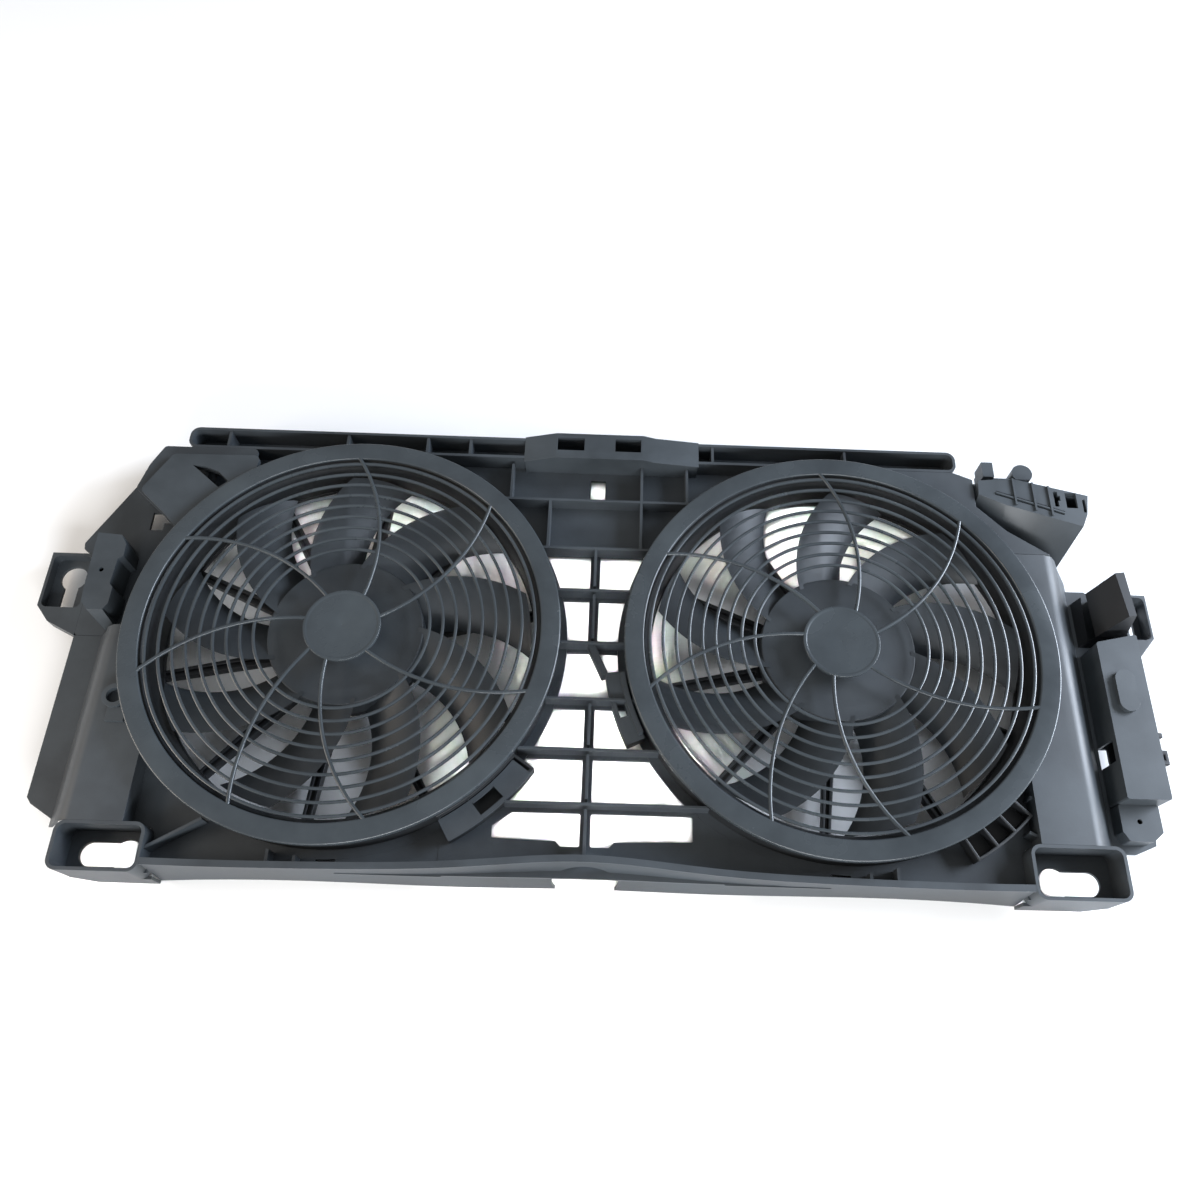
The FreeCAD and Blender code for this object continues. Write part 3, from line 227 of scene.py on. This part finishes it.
def oval(width, height, count, power=2.6):
    """Closed superellipse |a/w|^p + |b/h|^p = 1, the section of a moulded rod."""
    t = np.linspace(0, 2 * np.pi, count, endpoint=False)
    return np.stack([width / 2 * np.sign(np.cos(t)) * np.abs(np.cos(t)) ** (2 / power),
                     height / 2 * np.sign(np.sin(t)) * np.abs(np.sin(t)) ** (2 / power)], -1)


def rounded(corners, radius, steps=4):
    """Closed profile whose corners are quadratic curves that start one radius before each corner."""
    corners = np.asarray(corners, float)
    back = np.roll(corners, 1, 0) - corners
    ahead = np.roll(corners, -1, 0) - corners
    reach_back = np.minimum(radius, 0.48 * np.linalg.norm(back, axis=1))[:, None]
    reach_ahead = np.minimum(radius, 0.48 * np.linalg.norm(ahead, axis=1))[:, None]
    first = corners + back / np.linalg.norm(back, axis=1)[:, None] * reach_back
    last = corners + ahead / np.linalg.norm(ahead, axis=1)[:, None] * reach_ahead
    t = np.linspace(0, 1, steps + 1)[None, :, None]
    curve = (1 - t) ** 2 * first[:, None] + 2 * t * (1 - t) * corners[:, None] + t ** 2 * last[:, None]
    return curve.reshape(-1, 2)


def spoke(start, end, x, steps=40):
    """Rod on the circle through its start at the disc, its middle and its end at the outer ring."""
    radii = np.array([DISC_R - 0.001, (DISC_R + GUARD_INNER) / 2, GUARD_INNER + 0.001])
    turn = np.radians(start + (end - start) * np.array([0.0, 0.53, 1.0]))
    spots = np.stack([radii * np.cos(turn), radii * np.sin(turn)], -1)
    rows = 2 * (spots[1:] - spots[0])
    centre = np.linalg.solve(rows, (spots[1:] ** 2).sum(1) - (spots[0] ** 2).sum())
    angles = np.unwrap(np.arctan2(spots[:, 1] - centre[1], spots[:, 0] - centre[0]))
    along = np.linspace(angles[0], angles[2], steps)[:, None]
    section = oval(SPOKE_W, SPOKE_H, 12)
    reach = np.linalg.norm(spots[0] - centre) + section[:, 0]
    height = np.broadcast_to(GUARD_FRONT - SPOKE_H / 2 + section[:, 1], (steps, len(section)))
    return np.stack([x + centre[0] + reach * np.cos(along), centre[1] + reach * np.sin(along),
                     height], -1), False


guard_plastic = moulded("polypropylene_satin_guard", "2f3438", "3d4347", 0.26, 1.8, 0.006)
for side, x in FAN_X.items():
    rim = rounded([(GUARD_INNER, GUARD_BACK), (GUARD_INNER, GUARD_FRONT), (GUARD_OUTER, GUARD_FRONT),
                   (GUARD_OUTER, GUARD_LIP), (SKIRT_R, GUARD_LIP), (SKIRT_R, GUARD_BACK)], RIM_ROUND)
    dish = GUARD_FRONT - DISC_DISH
    disc = rounded([(AXIS_GAP, GUARD_BACK), (AXIS_GAP, dish), (DISC_R - DISC_BORDER_W, dish),
                    (DISC_R - DISC_BORDER_W + 0.001, GUARD_FRONT), (DISC_R, GUARD_FRONT),
                    (DISC_R, GUARD_BACK)], DISC_ROUND)
    shells = [turned(rim, x, 256), turned(disc, x, 96)]
    for i in range(RING_COUNT):
        rod = oval(ROD_W, ROD_H, 10) + [RING_FIRST + i * RING_PITCH, GUARD_BACK + ROD_H / 2]
        shells.append(turned(rod, x))
    shells += [spoke(start, end, x) for start, end in SPOKES]
    moulding(side + "_guard_moulding", shells, guard_plastic, "module", [side + "_guard"])

# Impellers
# Nine swept and twisted blades grow from a flat-faced hub cup, moulded in one piece in glass-filled
# nylon. The blades thin towards the trailing edge and their satin faces pick up broad reflections.

BLADES = 9
HUB_R = 0.062
HUB_WALL = 0.0025
HUB_FRONT = 0.0445
HUB_REAR = 0.0225
HUB_ROUND = 0.0012
BORE_R = 0.0041
BOSS_R = 0.012
BOSS_REAR = 0.0395
BOSS_SUNK = 0.0005
TIP_R = 0.1475
ROOT_CHORD, TIP_CHORD = 0.045, 0.054
ROOT_PITCH, TIP_PITCH = 31.0, 19.0
SWEEP_DEG = 21.0
CAMBER = 0.0034
BLADE_T = 0.0022
BLADE_MID = 0.0336
PHASE = {"left": 27.0, "right": 20.0}


def blade(turn_deg, x, stations=18, around=14):
    """Blade from hub to tip. At each radius its section lies on a cylinder about the fan axis.

    The section runs along the chord at the pitch of that radius, rises by a parabola of camber and
    is thick at a third of the chord. The whole section leans back as the share of span to the 1.4.
    """
    share = np.linspace(0, 1, stations)[:, None]
    radius = HUB_R - 0.004 + (TIP_R - HUB_R + 0.004) * share
    chord = ROOT_CHORD + (TIP_CHORD - ROOT_CHORD) * share
    pitch = np.radians(ROOT_PITCH + (TIP_PITCH - ROOT_PITCH) * share)
    lean = np.radians(turn_deg - SWEEP_DEG * share ** 1.4)
    t = np.linspace(0, 1, around)
    along = np.concatenate([t, t[::-1][1:-1]]) - 0.5
    face = np.concatenate([np.ones(around), -np.ones(around - 2)])
    swell = np.sqrt(np.clip(1 - (2 * along) ** 2, 0, 1)) * (1.1 - 0.5 * (along + 0.5))
    rise = CAMBER * (1 - 4 * along ** 2) + face * swell * BLADE_T / 2
    across = along * chord
    side = across * np.cos(pitch) - rise * np.sin(pitch)
    height = BLADE_MID + across * np.sin(pitch) + rise * np.cos(pitch)
    turn = lean + side / radius
    return np.stack([x + radius * np.cos(turn), radius * np.sin(turn), height], -1), False


blade_nylon = moulded("glass_filled_nylon_blade", "282c30", "33383c", 0.5, 2.0, 0.012)
for side, x in FAN_X.items():
    inner = HUB_R - HUB_WALL
    sunk, under = HUB_FRONT - BOSS_SUNK, HUB_FRONT - HUB_WALL
    cup = rounded([(BORE_R, sunk), (BOSS_R, sunk), (BOSS_R + 0.001, HUB_FRONT), (HUB_R, HUB_FRONT),
                   (HUB_R, HUB_REAR), (inner, HUB_REAR), (inner, under),
                   (BOSS_R, under), (BOSS_R, BOSS_REAR), (BORE_R, BOSS_REAR)], HUB_ROUND)
    shells = [turned(cup, x, 128)]
    shells += [blade(PHASE[side] + i * 360 / BLADES, x) for i in range(BLADES)]
    moulding(side + "_impeller_moulding", shells, blade_nylon, side + "_rotor",
             [side + "_impeller"])

# Clip block, clip tray and rail wings
# The carrier moulding also has a block that clips the right fan's left side, with a slanting bar to the
# lattice, a flat tray over the left fan's lower clip, and wings that close the gap above the rail.

CLIP_FOOT = 0.0290
CLIP_TOP = 0.0395
CLIP_OUTER_R = 0.1880
CLIP_INNER_R = 0.1732
CLIP_HOOK_TOP = 0.0460
CLIP_HOOK_R = 0.177
CLIP_SIDES_DEG = (188, 207)
CLIP_SLOT_DEG = (196, 200)
CLIP_SLOT_R = (0.178, 0.1845)
TRAY_OUTER_R = 0.1908
TRAY_BACK = 0.0400
TRAY_FRONT = 0.0426
TRAY_SIDES_DEG = (-59, -35.5)
TRAY_SLOT_DEG = (-50, -43.5)
TRAY_SLOT_R = (0.1765, 0.1875)
WING_BACK = 0.0262
WING_FRONT = 0.0288


def slab(corners, back, front, radius=0.0012):
    """Flat plate with small round corners: one outline at the back height and one at the front."""
    outline = rounded(corners, radius)
    return np.stack([np.column_stack([outline, np.full(len(outline), height)])
                     for height in (back, front)]), False


def sector(x, inner, outer, start_deg, end_deg, back, front, steps=14):
    """Plate between two radii and two angles about the fan axis at x."""
    turn = np.radians(np.linspace(start_deg, end_deg, steps))
    arc = np.stack([np.cos(turn), np.sin(turn)], -1)
    return slab(np.concatenate([arc * outer, arc[::-1] * inner]) + (x, 0), back, front, 0.0008)


def slotted(x, inner, outer, slot_r, sides_deg, slot_deg, back, front):
    """Sector with a slot through it, as the four plates round the slot."""
    return [sector(x, inner, outer, sides_deg[0], slot_deg[0], back, front),
            sector(x, inner, outer, slot_deg[1], sides_deg[1], back, front),
            sector(x, inner, slot_r[0], *slot_deg, back, front),
            sector(x, slot_r[1], outer, *slot_deg, back, front)]


clip = slotted(FAN_X["right"], CLIP_INNER_R, CLIP_OUTER_R, CLIP_SLOT_R, CLIP_SIDES_DEG, CLIP_SLOT_DEG,
               CLIP_FOOT, CLIP_TOP)
clip.append(sector(FAN_X["right"], CLIP_INNER_R, CLIP_HOOK_R, CLIP_SIDES_DEG[0] + 1, CLIP_SIDES_DEG[1] - 1,
                   CLIP_TOP, CLIP_HOOK_TOP))
clip.append(slab([(-0.004, -0.002), (0.002, -0.002), (0.0135, -0.026), (0.0085, -0.028)],
                 WING_BACK, CLIP_TOP))
moulding("right_clip_block", clip, carrier_plastic, "module", [])
tray = slotted(FAN_X["left"], CLIP_INNER_R, TRAY_OUTER_R, TRAY_SLOT_R, TRAY_SIDES_DEG, TRAY_SLOT_DEG,
               TRAY_BACK, TRAY_FRONT)
moulding("left_clip_tray", tray, carrier_plastic, "module", [])
wings = [slab([(side * 0.183, -0.1868), (side * 0.104, -0.1868), (side * 0.104, -0.1515),
               (side * 0.143, -0.1630), (side * 0.183, -0.1735)], WING_BACK, WING_FRONT)
         for side in (-1, 1)]
moulding("rail_wings", wings, carrier_plastic, "module", [])

# Motors
# Each fan has a flat permanent-magnet motor: a drawn steel can and cap with a dull zinc finish,
# ferrite magnets, an armature of laminations and copper, carbon brushes and bronze bearings.


def metal(name, dark, light, roughness, mark_mm, metallic=1.0):
    """Worked metal: its tone and roughness follow one noise of the size of its handling marks."""
    material = bpy.data.materials.new(name)
    material.use_nodes = True
    tree = material.node_tree
    tree.nodes.clear()
    place = add(tree, "ShaderNodeTexCoord").outputs["Object"]
    marks = add(tree, "ShaderNodeTexNoise", {"Vector": place, "Scale": 1000 / mark_mm, "Detail": 6.0,
                                             "Roughness": 0.65}).outputs["Fac"]
    tone = add(tree, "ShaderNodeValToRGB", {"Fac": marks})
    tone.color_ramp.elements[0].color = linear(dark)
    tone.color_ramp.elements[1].color = linear(light)
    shine = add(tree, "ShaderNodeMapRange", {"Value": marks, "To Min": roughness - 0.1,
                                             "To Max": roughness + 0.1})
    bump = add(tree, "ShaderNodeBump", {"Height": marks, "Distance": 0.00002, "Strength": 1.0})
    shader = add(tree, "ShaderNodeBsdfPrincipled", {"Base Color": tone.outputs["Color"],
                                                    "Roughness": shine.outputs["Result"],
                                                    "Metallic": metallic,
                                                    "Normal": bump.outputs["Normal"]})
    add(tree, "ShaderNodeOutputMaterial", {"Surface": shader.outputs["BSDF"]})
    return material


dress(["motor_cans", "motor_end_caps"], metal("zinc_plated_drawn_steel", "6d6f70", "8b8d8e", 0.42, 6.0), 0.5)
dress(["motor_bearings"], metal("sintered_bronze", "7d6134", "9c7c48", 0.5, 1.5), 0.2)
dress(["motor_magnets"], metal("ground_ferrite", "2a2a2b", "38383a", 0.6, 3.0, 0.0), 0.3)
dress(["brushes"], metal("pressed_carbon", "1d1d1e", "2b2b2c", 0.65, 1.0, 0.0), 0.1)
dress(["motor_screws", "left_hub_nut", "right_hub_nut", "left_motor_shaft", "right_motor_shaft"],
      metal("bright_zinc_plate", "9a9c9f", "bdbfc2", 0.3, 4.0), 0.2)
dress(["left_armature_core", "right_armature_core"],
      metal("stacked_laminations", "56575a", "6e7073", 0.5, 2.0), 0.1)
dress(["left_armature_winding", "right_armature_winding"],
      metal("enamelled_copper_wire", "7a3d20", "a0562f", 0.35, 0.8), 0.3)
dress(["left_commutator", "right_commutator"], metal("turned_copper", "9a5c3b", "bd7c56", 0.3, 1.2), 0.1)
dress(["brush_holders"], black_nylon, 0.3)

# Studio
# The module lies on its back on a pale sheet. A low cool key comes from the right, a weaker warm light
# from the left. Gridded heads by the camera light the sheet alone, where openings would shade it.

FLOOR_HALF = 4.0
EYE = np.array([0.01258, -0.32419, 0.77756])
EYE_TURN_DEG = (26.1152, -1.2401, 1.4901)
SENSOR_MM = 36.0
LENS_MM = 29.958
LENS_SHIFT = (-0.0144, 0.00065)
GRID_SPREAD_DEG = 3
GRID_REACH = 1.4


def flat_floor():
    """Square of pale paper under the module, with its top in the plane of the module's back."""
    mesh = bpy.data.meshes.new("studio_floor")
    mesh.from_pydata([(x * FLOOR_HALF, y * FLOOR_HALF, 0.0) for x, y in ((-1, -1), (1, -1), (1, 1), (-1, 1))],
                     [], [(0, 1, 2, 3)])
    material = bpy.data.materials.new("pale_paper_sheet")
    material.use_nodes = True
    shader = material.node_tree.nodes["Principled BSDF"]
    shader.inputs["Base Color"].default_value = linear("f4f4f4")
    shader.inputs["Roughness"].default_value = 0.9
    mesh.materials.append(material)
    floor = bpy.data.objects.new("studio_floor", mesh)
    bpy.context.scene.collection.objects.link(floor)
    return floor


def panel(name, place, aim, width, height, power, colour, spread_deg=180):
    """Rectangular light at a place, turned to shine at a point. A grid narrows its spread."""
    light = bpy.data.lights.new(name, "AREA")
    light.shape = "RECTANGLE"
    light.size = width
    light.size_y = height
    light.spread = math.radians(spread_deg)
    light.energy = power
    light.color = linear(colour)[:3]
    lamp = bpy.data.objects.new(name, light)
    bpy.context.scene.collection.objects.link(lamp)
    back = np.subtract(place, aim)
    lamp.location = place
    lamp.rotation_euler = (math.atan2(math.hypot(back[0], back[1]), back[2]), 0,
                           math.atan2(back[0], -back[1]))
    return lamp


sheet = bpy.data.collections.new("sheet_only")
sheet.objects.link(flat_floor())
panel("key_right", (1.9, 0.5, 0.95), (0.1, 0, 0), 1.1, 0.7, 80, "e2eeff")
panel("front_low", (0.3, -2.0, 0.95), (0, 0, 0), 1.8, 0.5, 64, "f4f7fa")
panel("fill_left", (-1.8, -0.4, 0.9), (-0.1, 0, 0), 1.2, 0.8, 24, "fff2e4")
panel("edge_right", (1.5, 0.2, 0.4), (0.2, 0, 0.05), 1.3, 0.12, 9, "ffffff")
for name, spot, width, height, power in (("lattice_high", (0.0, 0.035, 0.0), 0.12, 0.3, 0.22),
                                         ("lattice_low", (0.0, -0.118, 0.0), 0.22, 0.13, 0.17),
                                         ("left_bay_top", (-0.1857, 0.112, 0.0), 0.22, 0.09, 0.14),
                                         ("right_bay_top", (0.1927, 0.115, 0.0), 0.18, 0.08, 0.11),
                                         ("left_corner", (-0.352, -0.176, 0.0), 0.07, 0.04, 0.02),
                                         ("right_corner", (0.362, -0.175, 0.0), 0.07, 0.04, 0.02)):
    lamp = panel(name, spot + GRID_REACH * (EYE - spot), spot, width, height, power, "ffffff",
                 GRID_SPREAD_DEG)
    lamp.light_linking.receiver_collection = sheet
world = bpy.data.worlds.new("studio_air")
world.use_nodes = True
world.node_tree.nodes["Background"].inputs["Color"].default_value = linear("f3f6f8")
world.node_tree.nodes["Background"].inputs["Strength"].default_value = 0.4
bpy.context.scene.world = world
bpy.context.scene.view_settings.view_transform = "Standard"

lens = bpy.data.cameras.new("photo_camera")
lens.sensor_width = SENSOR_MM
lens.lens = LENS_MM
lens.shift_x, lens.shift_y = LENS_SHIFT
lens.clip_start = 0.01
lens.clip_end = 50.0
camera = bpy.data.objects.new("photo_camera", lens)
bpy.context.scene.collection.objects.link(camera)
camera.location = EYE
camera.rotation_euler = [math.radians(angle) for angle in EYE_TURN_DEG]
bpy.context.scene.camera = camera
